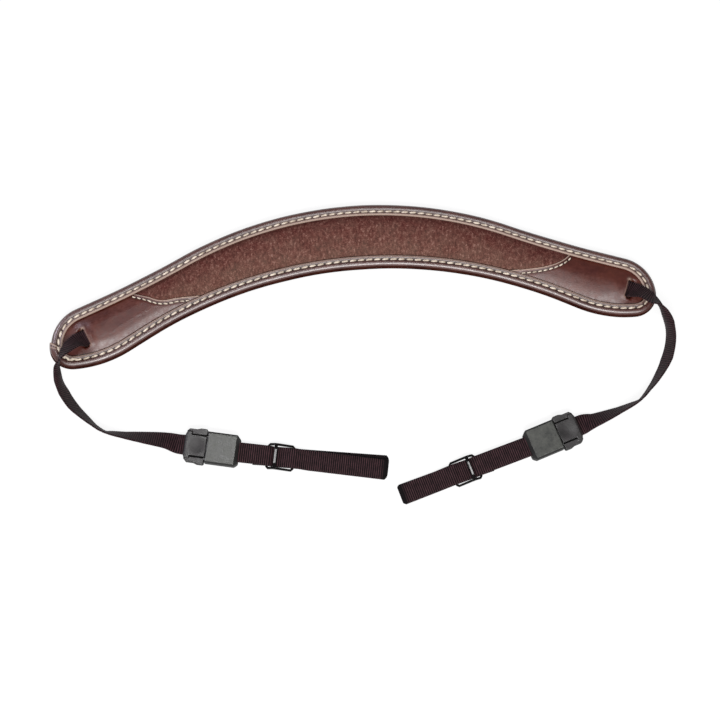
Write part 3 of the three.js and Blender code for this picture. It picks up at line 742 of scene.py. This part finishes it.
def endTop(hand, x, y, seamTree):
    # domed up to the slot, plain past it, with a bulge and a raised lip before the slit
    along, across = inPlace(webbingSlots[hand], x, y)
    inset = insetAt(x, y)
    domed = alongTable(cadTop["ends"], inset) + puffRise(hand, inset)
    edgeInset, edgeTop = cadTop["ends"][0]
    plain = edgeTop + slotShape["slope"] * max(0.0, inset - edgeInset)
    top = domed + (plain - domed) * smoothStep(-6, 8, along) * smoothStep(*underBinding, inset)
    bulge = bell((along + 4) / 7) * bell(across / 6) * smoothStep(4, 0, along)
    lip = smoothStep(-2.5, 0, along) * smoothStep(3, 0.5, along) * smoothStep(6.4, 4.6, abs(across))
    furrow = frontSeam["depth"] * bell(seamTree.find((x, y, 0.0))[2] / frontSeam["width"])
    return top + slotShape["bulge"] * bulge + slotShape["lipLift"] * lip - furrow


endShape = dict(voxelMm=0.32, rounds=4, paleEdge=(0.4, 0.75), lipPale=0.28, cornerHighlight=0.8, seamShadeStrength=0.85,
                seamShadeWidth=0.6, slotReach=9.0, slotRounds=3)


def makeEndLeather(hand):
    side = sides[hand]
    slot = webbingSlots[hand]
    bm = evenNode("end_panel_" + hand, endShape["voxelMm"], endShape["rounds"])
    edgeTree = treeOf(denser(swooshPath(hand), 0.2))
    seamTree = treeOf(seamPath(hand))
    rawLayer = bm.verts.layers.float.new("paleEdge")
    grooveLayer = bm.verts.layers.float.new("seamShade")
    for vert in bm.verts:
        oldX, oldY = vert.co.x / mm, vert.co.y / mm
        along, across = slitPlace(*inPlace(slot, oldX, oldY))
        x, y = fromPlace(slot, along, across)
        top = endTop(hand, x, y, seamTree)
        below = alongTable(cadTop["ends"], insetAt(oldX, oldY)) - vert.co.z / mm
        below *= smoothStep(0.1, 0.45, below)
        vert.co = Vector((x, y, top - slitDip(along, across, top) - below)) * mm
        raw = 1.0 - smoothStep(*endShape["paleEdge"], edgeTree.find((x, y, 0.0))[2])
        onLip = (1 - smoothStep(0.2, 0.9, abs(along))) * smoothStep(6.0, 5.0, abs(across))
        # painted highlight at the far corner of the slot
        corner = math.hypot(along - 0.3, across - side * slotShape["tight"])
        cornerHighlight = endShape["cornerHighlight"] * bell(corner)
        vert[rawLayer] = max(raw, endShape["lipPale"] * onLip, cornerHighlight)
        # painted shade along the furrow of the front seam's stitches
        vert[grooveLayer] = endShape["seamShadeStrength"] * bell(seamTree.find((x, y, 0.0))[2] / endShape["seamShadeWidth"])
    slit = Vector(fromPlace(slot, 2.0))
    slotVerts = [vert for vert in bm.verts if (slit - vert.co.xy / mm).length < endShape["slotReach"]]
    smoothOver(bm, slotVerts, endShape["slotRounds"])
    piece = addPiece("end_leather_" + hand, bm, endLeather, ["end_panel_" + hand])
    seam = [(point.x, point.y) for point in seamPath(hand)]
    thread = bmesh.new()
    for x, y, heading in seamPoints(seam, frontSeam["pitch"], 1.0):
        height = endTop(hand, x, y, seamTree) + frontSeam["lift"]
        addStitch(thread, x, y, height, heading, stitchShape["turn"] * side, size=frontSeam["size"])
    addPiece("end_stitches_" + hand, thread, waxedThread)
    return piece


# the felt is painted darker as shade along the binding, most on the far side, and a little towards the ends
feltShape = dict(voxelMm=0.62, rounds=3, rimShade=0.3, farRimShade=0.2, endShade=0.12, rimShadeReach=(5.6, 10.0),
                 lumpMm=1.1, lump=0.07, swellMm=14, swell=0.15)


def makeFeltPad():
    shape = feltShape
    bm = evenNode("felt_panel", shape["voxelMm"], shape["rounds"])
    bm.normal_update()
    rimShadeLayer = bm.verts.layers.float.new("rimShade")
    nearSheenLayer = bm.verts.layers.float.new("nearSheen")
    for vert in bm.verts:
        x, y, z = vert.co / mm
        inset = insetAt(x, y)
        far = 1.0 if nearestRim(x, y)[3] > 0 else -1.0
        # painted sheen, rising towards the near rim
        vert[nearSheenLayer] = 0.5 - 0.5 * far * (1 - inset / padRim["halfWidth"])
        rimShaded = (shape["rimShade"] + shape["farRimShade"] * far) * (1 - smoothStep(*shape["rimShadeReach"], inset))
        vert[rimShadeLayer] = max(rimShaded, shape["endShade"] * smoothStep(50, 110, abs(x)))
        top = smoothStep(3.0, 4.5, z) * smoothStep(-0.2, 0.5, vert.normal.z)
        lump = noise.noise(vert.co / (shape["lumpMm"] * mm)) * shape["lump"]
        lump += noise.noise(vert.co / (shape["swellMm"] * mm)) * shape["swell"]
        vert.co.z += top * (puffRise("felt", inset) + lump * smoothStep(6, 8, inset)) * mm
    return addPiece("felt_pad", bm, woolFelt, ["felt_panel"])


backShape = dict(voxelMm=0.7, rounds=4)


def makeBackLeather():
    bm = evenNode("back_panel", backShape["voxelMm"], backShape["rounds"])
    return addPiece("back_leather_sheet", bm, backLeather, ["back_panel"])


feltPad = makeFeltPad()
backSheet = makeBackLeather()
for hand in sides:
    makeEndLeather(hand)
print("pad covered")

# webbing: a flat ribbed band carried along its route

webbingShape = dict(half=5.0, thick=0.9, ribPitch=1.04, rowsPerRib=6, ribDepth=0.13, edgeWave=0.07,
                    foldReach=4.5)
rowStep = webbingShape["ribPitch"] / webbingShape["rowsPerRib"]
# round the band: across its width and out from its middle
webbingRing = [(-0.97, 0.8), (-0.88, 1.0), (-0.66, 1.0), (-0.33, 1.0), (0.0, 1.0), (0.33, 1.0), (0.66, 1.0),
               (0.88, 1.0), (0.97, 0.8), (1.0, 0.3), (1.0, -0.3), (0.97, -0.8), (0.88, -1.0), (0.66, -1.0),
               (0.33, -1.0), (0.0, -1.0), (-0.33, -1.0), (-0.66, -1.0), (-0.88, -1.0), (-0.97, -0.8),
               (-1.0, -0.3), (-1.0, 0.3)]
clipPlaces = {"right": dict(x=94.0, y=-110.6, heading=197.2), "left": dict(x=-78.6, y=-100.5, heading=-13.2)}
# x, y, z and lean: 0 flat, 90 on edge, 180 turned over
upperRoutes = {
    "right": [(141.6, -42.6, 7.7, 11), (144.9, -45.2, 11.1, 33), (148.2, -47.9, 11.6, 35),
              (151.4, -49.8, 11.0, 63), (154.2, -53.3, 9.4, 79), (156.0, -59.4, 6.7, 99),
              (156.0, -67.5, 5.1, 108), (152.4, -78.1, 4.85, 115), (145.7, -88.0, 5.0, 104),
              (140.9, -93.3, 5.1, 97), (137.0, -97.0, 5.1, 95), (133.4, -98.7, 5.1, 104),
              (125.3, -101.6, 5.0, 115), (112.5, -105.4, 4.6, 140)],
    "left": [(-138.1, -41.5, 7.4, 10), (-141.0, -44.3, 11.3, 31), (-143.6, -47.0, 12.5, 48),
             (-146.3, -50.0, 12.8, 65), (-148.8, -53.8, 11.1, 84), (-149.0, -59.6, 7.6, 102),
             (-146.7, -66.3, 5.2, 116), (-142.4, -73.9, 4.8, 116), (-136.8, -80.3, 5.0, 108),
             (-133.0, -84.2, 5.1, 101), (-128.3, -87.8, 5.1, 100), (-124.8, -88.9, 5.0, 108),
             (-118.7, -90.5, 4.95, 116), (-109.4, -92.6, 4.8, 131), (-97.7, -95.3, 4.2, 151)]}
# where each strap rolls over it cups across its width and the fold is bulkier; its slot gathers it narrower
cupped = {"right": dict(place=(153.7, -54.6), depth=1.85, reach=8.5, fold=(155.0, -57.0), bulk=0.55),
          "left": dict(place=(-148.9, -57.0), depth=1.6, reach=6.7, fold=(-149.2, -58.5), bulk=0.25)}
gathered = {"right": dict(half=4.1, until=10.2, free=26.2), "left": dict(half=4.2, until=8.1, free=24.1)}
pocketTail = dict(alongs=(-12.0, -6.0, -1.0, 1.0), z=4.25)
clipEntry = dict(rows=((-14.0, 172.0), (-11.0, 180.0), (-7.8, 180.0)), z=3.5)


def smoothSpan(before, start, end, after, t):
    # one span of a smooth curve through its points, eased by the square roots of their distances
    spans = [max(1e-4, math.sqrt((b - a).length)) for a, b in ((before, start), (start, end), (end, after))]
    leave = ((start - before) / spans[0] - (end - before) / (spans[0] + spans[1])
             + (end - start) / spans[1]) * spans[1]
    arrive = ((end - start) / spans[1] - (after - start) / (spans[1] + spans[2])
              + (after - end) / spans[2]) * spans[1]
    return (start * (2 * t ** 3 - 3 * t ** 2 + 1) + leave * (t ** 3 - 2 * t ** 2 + t)
            + end * (3 * t ** 2 - 2 * t ** 3) + arrive * (t ** 3 - t ** 2))


def evenRoute(points, step):
    # same route, with points at even steps; each point carries its lean as a fourth number
    lengths = [0.0]
    for a, b in zip(points, points[1:]):
        lengths.append(lengths[-1] + (b.xyz - a.xyz).length)
    count = round(lengths[-1] / step)
    route = []
    span = 0
    for i in range(count + 1):
        due = lengths[-1] * i / count
        while span < len(points) - 2 and lengths[span + 1] < due:
            span += 1
        gap = max(1e-9, lengths[span + 1] - lengths[span])
        route.append(points[span].lerp(points[span + 1], min(1.0, (due - lengths[span]) / gap)))
    return route


def makeWebbingPiece(name, route, frames, halfWidths, cups, lightness, stands, bulks=lambda row: 0.0):
    shape = webbingShape

    def place(column, row):
        across, out = webbingRing[column % len(webbingRing)]
        along = row * rowStep
        crest = (0.5 + 0.5 * math.cos(2 * math.pi * along / shape["ribPitch"])) ** 0.7
        shake = 0.04 * noise.noise(Vector((along * 0.8, across * 3, out)))
        ribDepth = shape["ribDepth"] * (1 if abs(across) < 0.95 else 0.4)
        thick = shape["thick"] / 2 + ribDepth * (crest - 0.75) + shake + bulks(row)
        half = halfWidths(row) + shape["edgeWave"] * (crest - 0.6)
        right, up = frames[row]
        lift = out * thick - cups(row) * (1 - across * across)
        point = route[row].xyz + right * (across * half) + up * lift
        point.z = max(0.0, point.z)
        # painted highlight on the rib crests, times the painted shade of the loops
        return point * mm, (along, across * shape["half"]), (crest ** 2.4 * lightness(row),)

    bm = closeGrid(wrapGrid(len(webbingRing), len(route) - 1, place, ("ribShading",)))
    addPiece(name, bm, nylonWebbing, stands)


def makeUpperWebbing(hand):
    side = sides[hand]
    rows = [(*fromPlace(webbingSlots[hand], along), pocketTail["z"], 0.0) for along in pocketTail["alongs"]]
    rows += upperRoutes[hand]
    rows += [(*fromPlace(clipPlaces[hand], u), clipEntry["z"], lean) for u, lean in clipEntry["rows"]]
    points = [Vector(row) for row in rows]
    fine = []
    for i, (start, end) in enumerate(zip(points, points[1:])):
        before = points[i - 1].xyz if i else start.xyz * 2 - end.xyz
        after = points[i + 2].xyz if i + 2 < len(points) else end.xyz * 2 - start.xyz
        for k in range(16):
            spot = smoothSpan(before, start.xyz, end.xyz, after, k / 16)
            fine.append(Vector((*spot, start.w + (end.w - start.w) * k / 16)))
    fine.append(points[-1])
    route = evenRoute(fine, rowStep)
    frames = []
    for i, point in enumerate(route):
        ahead = (route[min(i + 3, len(route) - 1)] - route[max(i - 3, 0)]).xyz.normalized()
        inward = ahead.cross(Vector((0, 0, 1))).normalized() * side
        lift = inward.cross(ahead) * side
        lean = math.radians(point.w)
        across = inward * math.cos(lean) + lift * math.sin(lean)
        frames.append((across, lift * math.cos(lean) - inward * math.sin(lean)))

    cupping = cupped[hand]
    gather = gathered[hand]

    def cup(row):
        return cupping["depth"] * bell((route[row].xy - Vector(cupping["place"])).length / cupping["reach"])

    def bulk(row):
        away = (route[row].xy - Vector(cupping["fold"])).length
        return cupping["bulk"] * bell(away / webbingShape["foldReach"])

    def halfWidth(row):
        fromSlot = row * rowStep + pocketTail["alongs"][0]
        freed = smoothStep(gather["until"], gather["free"], fromSlot)
        return gather["half"] + (webbingShape["half"] - gather["half"]) * freed

    makeWebbingPiece("strap_upper_" + hand, route, frames, halfWidth, cup, lambda row: 1.0,
                     ["webbing_upper_" + hand], bulk)


# loops: from the housing through the slider, out to the fold and back underneath

loopPlaces = {"right": dict(x=47.0, y=-123.7, heading=195.2, toHousing=32.6, toEnd=34.6, splay=(0.4, -0.2)),
              "left": dict(x=-43.0, y=-108.4, heading=-11.5, toHousing=20.2, toEnd=53.4, splay=(-0.9, 1.6))}
loopHeights = dict(overBar=(3.1, 1.95), underBar=(1.85, 0.7), layers=(1.7, 0.45), bulge=0.25, anchor=3.5,
                   inside=3.2, barHigh=7.3, barLow=5.3, middle=(-3.7, -1.3), layersFrom=14.0, tail=6.0,
                   corner=1.1)
# painted shade: the webbing darkens towards the fold's end and on its lower layer
loopLook = dict(foldShade=(0.2, 3.6), underside=0.35)


def loopRows(loop):
    heights = loopHeights

    def through(layer):
        over, under = heights["overBar"][layer], heights["underBar"][layer]
        near, far = heights["middle"]
        return [(-heights["barHigh"], 0.0, over), (-heights["barLow"], 0.0, over), (near, 0.0, under),
                (far, 0.0, under), (heights["barLow"], 0.0, over), (heights["barHigh"], 0.0, over),
                (heights["layersFrom"], 0.25 * loop["splay"][layer], heights["layers"][layer])]

    upper, lower = heights["layers"]
    radius = (upper - lower) / 2 + heights["bulge"]
    middleU = loop["toEnd"] - radius - webbingShape["thick"] / 2
    rows = [(-loop["toHousing"] - heights["inside"], 0.0, heights["anchor"]),
            (-loop["toHousing"] + 1, 0.0, heights["anchor"])] + through(0)
    for step in range(9):
        turn = math.pi * (0.5 - step / 8)
        splay = loop["splay"][0] + (loop["splay"][1] - loop["splay"][0]) * step / 8
        rows.append((middleU + radius * math.cos(turn), splay, lower + radius + radius * math.sin(turn)))
    rows += reversed(through(1))
    rows.append((-heights["barHigh"] - heights["tail"], 0.0, lower))
    return [Vector((*row, 0.0)) for row in rows]


def makeLoopWebbing(hand):
    loop = loopPlaces[hand]
    route = evenRoute(loopRows(loop), rowStep)
    for _ in range(6):
        eased = [(a + b * 2 + c) / 4 for a, b, c in zip(route, route[1:], route[2:])]
        route = [route[0], *eased, route[-1]]
    turn = Matrix.Rotation(math.radians(loop["heading"]), 3, "Z")
    across = turn @ Vector((0, 1, 0))
    frames = []
    for i in range(len(route)):
        ahead = (route[min(i + 2, len(route) - 1)] - route[max(i - 2, 0)]).xyz
        ahead.y = 0.0
        frames.append((across, (turn @ ahead.normalized()).cross(across)))
    farthest = max(point.x for point in route)
    ends = [farthest - point.x for point in route]
    fold = ends.index(min(ends))
    placed = [Vector((*(turn @ point.xyz + Vector((loop["x"], loop["y"], 0.0))), 0.0)) for point in route]

    def halfWidth(row):
        # the fold's corners are worn round
        corner = loopHeights["corner"]
        fromEnd = min(ends[row], corner)
        return webbingShape["half"] - corner + math.sqrt(fromEnd * (2 * corner - fromEnd))

    def lightness(row):
        return smoothStep(*loopLook["foldShade"], ends[row]) * (1.0 if row <= fold else loopLook["underside"])

    makeWebbingPiece("strap_loop_" + hand, placed, frames, halfWidth, lambda row: 0.0, lightness,
                     ["webbing_loop_" + hand])


for hand in sides:
    makeUpperWebbing(hand)
    makeLoopWebbing(hand)
print("webbing laid")

# clips and sliders: moulded pieces with softened edges

clipShape = dict(edge=0.28, segments=3, sharpest=38.0, voxelMm=0.2, rounds=3, top=6.3,
                 dishU=-4.9, dishRadius=5.3, dishDepth=0.4, dishFrom=4.7, dishShade=0.2,
                 earInner=5.7, earRoot=-7.8, earSlot=0.42)


def makeHousing(hand):
    bm = copyNode("buckle_housing_" + hand)
    bmesh.ops.dissolve_limit(bm, angle_limit=math.radians(1.0), verts=bm.verts, edges=bm.edges)
    sharp = [edge for edge in bm.edges if edge.is_manifold
             and edge.calc_face_angle() > math.radians(clipShape["sharpest"])]
    bmesh.ops.bevel(bm, geom=sharp, offset=clipShape["edge"] * mm, affect="EDGES",
                    segments=clipShape["segments"], profile=0.5, material=-1, clamp_overlap=True)
    bm.normal_update()
    # painted shade on the faces that turn away from the top
    shadedSideLayer = bm.verts.layers.float.new("shadedSide")
    for vert in bm.verts:
        vert[shadedSideLayer] = 1 - smoothStep(0.8, 0.97, vert.normal.z)
    piece = addPiece("clip_housing_" + hand, bm, clipPlastic, ["buckle_housing_" + hand])
    piece.modifiers.new("even_shading", "WEIGHTED_NORMAL")


def makeTongue(hand):
    # thumb dish worked in softly, its hollow painted darker as shade; below their tops the ears stand close
    # to the base
    shape = clipShape
    clip = clipPlaces[hand]
    bm = evenNode("buckle_tongue_" + hand, shape["voxelMm"], shape["rounds"], clip)
    bm.normal_update()
    dish = Vector(fromPlace(clip, shape["dishU"]))
    shadedSideLayer = bm.verts.layers.float.new("shadedSide")
    for vert in bm.verts:
        away = (vert.co.xy / mm - dish).length / shape["dishRadius"]
        deep = 0.5 + 0.5 * math.cos(math.pi * min(1.0, away))
        if away < 1 and vert.co.z > shape["dishFrom"] * mm and vert.normal.z > 0.4:
            vert.co.z = (shape["top"] - shape["dishDepth"] * deep) * mm
        vert[shadedSideLayer] = max(shape["dishShade"] * deep, 1 - smoothStep(0.5, 0.93, vert.normal.z))
        along, across = inPlace(clip, vert.co.x / mm, vert.co.y / mm)
        if along > shape["earRoot"] and abs(abs(across) - shape["earInner"]) < 0.3:
            closer = shape["earSlot"] * smoothStep(5.4, 4.4, vert.co.z / mm)
            vert.co.xy = Vector(fromPlace(clip, along, across - math.copysign(closer, across))) * mm
    addPiece("clip_tongue_" + hand, bm, tonguePlastic, ["buckle_tongue_" + hand])


# the bars round down towards the rails, so the glint stays between them
sliderShape = dict(voxelMm=0.14, rounds=2, drop=0.45, dropFrom=3.4, dropTo=6.6)


def makeSlider(hand):
    shape = sliderShape
    bm = evenNode("slider_" + hand, shape["voxelMm"], shape["rounds"], loopPlaces[hand])
    bm.normal_update()
    for vert in bm.verts:
        across = inPlace(loopPlaces[hand], vert.co.x / mm, vert.co.y / mm)[1]
        drop = shape["drop"] * smoothStep(shape["dropFrom"], shape["dropTo"], abs(across))
        vert.co.z -= drop * smoothStep(0.3, 0.8, vert.normal.z) * mm
    addPiece("ladder_slider_" + hand, bm, sliderPlastic, ["slider_" + hand])


for hand in sides:
    makeTongue(hand)
    makeHousing(hand)
    makeSlider(hand)
print("clips and sliders moulded")
